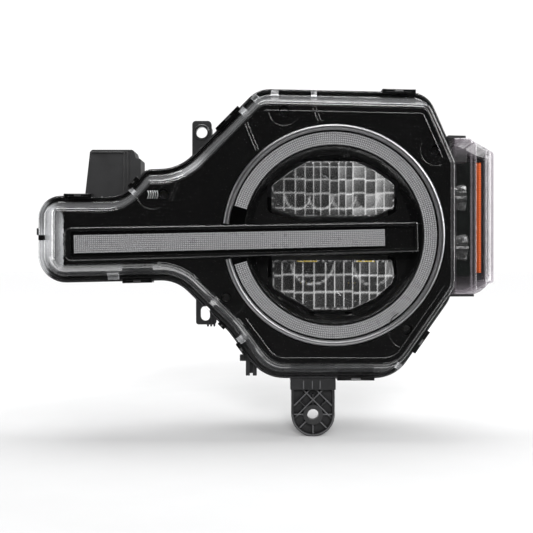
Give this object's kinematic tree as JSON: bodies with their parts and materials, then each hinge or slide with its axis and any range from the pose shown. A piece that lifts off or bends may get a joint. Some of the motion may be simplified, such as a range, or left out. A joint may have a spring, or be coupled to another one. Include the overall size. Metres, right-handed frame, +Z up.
{
  "type": "car headlight assembly",
  "caption": "LED car headlight with a halo ring, faceted beam modules, a horizontal light bar, a slim arm and a wrap-round side marker.",
  "frame": {"origin": "centre of the lower bracket's mounting hole, on the bracket's rear face", "axes": "-Y is where the lamp shines and the way the bracket's bolt leaves, +X is outboard, +Z is up"},
  "size_m": [0.5004, 0.195, 0.3756],
  "materials": {
    "housing_plastic": "moulded glass-filled plastic, fine grain",
    "bracket_plastic": "moulded plastic with ribs, fine grain",
    "grey_plastic": "dark grey moulded plastic",
    "clear_polycarbonate": "hard-coated clear moulding",
    "clear_optics": "polished clear optic",
    "light_guide": "frosted clear acrylic with fine prisms",
    "gloss_black": "piano black",
    "satin_black": "fine-grained black",
    "bright_trim": "dark vapour-metallised",
    "reflector_bright": "vapour-metallised",
    "amber_optic": "amber reflex optic",
    "circuit_board": "white solder mask",
    "led_phosphor": "yellow phosphor",
    "die_cast_aluminium": "as cast",
    "zinc_steel": "zinc plated",
    "bushing_steel": "turned",
    "spring_steel": "blackened spring steel",
    "sealant": "butyl bead",
    "gasket_rubber": "soft rubber",
    "contact_brass": "tinned contacts",
    "cable_sleeve": "taped wire bundle",
    "white_nylon": "nylon"
  },
  "bodies": {
    "lamp_body": {"housing": "housing_plastic", "tab_bushing": "bushing_steel", "outer_lens": "clear_polycarbonate", "seal_bead": "sealant", "lens_clips": "spring_steel", "bezel": "gloss_black", "bezel_screws": "zinc_steel", "halo_trim_ring": "bright_trim", "halo_light_guide": "light_guide", "halo_led_board": "circuit_board", "inner_cone": "satin_black", "bar_tray": "gloss_black", "bar_led_board": "circuit_board", "bar_light_guide": "light_guide", "pivot_pins": "zinc_steel", "levelling_motor": "housing_plastic", "motor_gasket": "gasket_rubber", "side_marker_lens": "clear_polycarbonate", "marker_led_board": "circuit_board", "marker_reflector": "amber_optic", "marker_optics": "clear_optics", "marker_cap": "grey_plastic", "lower_bracket": "bracket_plastic", "bracket_screws": "zinc_steel", "corner_block": "grey_plastic", "locating_peg": "bracket_plastic", "index_key": "grey_plastic", "service_cover": "housing_plastic", "service_cover_seal": "gasket_rubber", "service_cover_screws": "zinc_steel", "led_driver": "die_cast_aluminium", "driver_gasket": "gasket_rubber", "driver_screws": "zinc_steel", "main_connector": "housing_plastic", "connector_pins": "contact_brass", "vent_caps": "gasket_rubber", "inner_harness": "cable_sleeve"},
    "beam_modules": {"low_beam_lens": "clear_optics", "low_beam_reflector": "reflector_bright", "low_beam_led_board": "circuit_board", "low_beam_led_chips": "led_phosphor", "low_beam_heat_sink": "die_cast_aluminium", "high_beam_lens": "clear_optics", "high_beam_reflector": "reflector_bright", "high_beam_led_board": "circuit_board", "high_beam_led_chips": "led_phosphor", "high_beam_heat_sink": "die_cast_aluminium", "module_carrier": "die_cast_aluminium", "ball_socket": "white_nylon", "module_screws": "zinc_steel"},
    "adjuster": {"adjuster_rod": "zinc_steel"},
    "aim_drive": {"aim_screw": "white_nylon"}
  },
  "joints": [
    {"name": "beam_tilt", "type": "hinge", "parent": "lamp_body", "child": "beam_modules", "pos_m": [0.0203, 0.026, 0.1934], "axis": [1, 0, 0], "range_deg": [-3, 3]},
    {"name": "adjuster_travel", "type": "slide", "parent": "lamp_body", "child": "adjuster", "axis": [0, 1, 0], "range_m": [-0.0054, 0.0054]},
    {"name": "aim_spin", "type": "hinge", "parent": "lamp_body", "child": "aim_drive", "pos_m": [0.0443, 0.136, 0.0954], "axis": [0, 1, 0], "range_deg": [-960, 960]}
  ],
  "couplings": [
    {"joint": "adjuster_travel", "follows": "beam_tilt", "m_per_rad": 0.098},
    {"joint": "aim_spin", "follows": "beam_tilt", "ratio": 307.88}
  ]
}
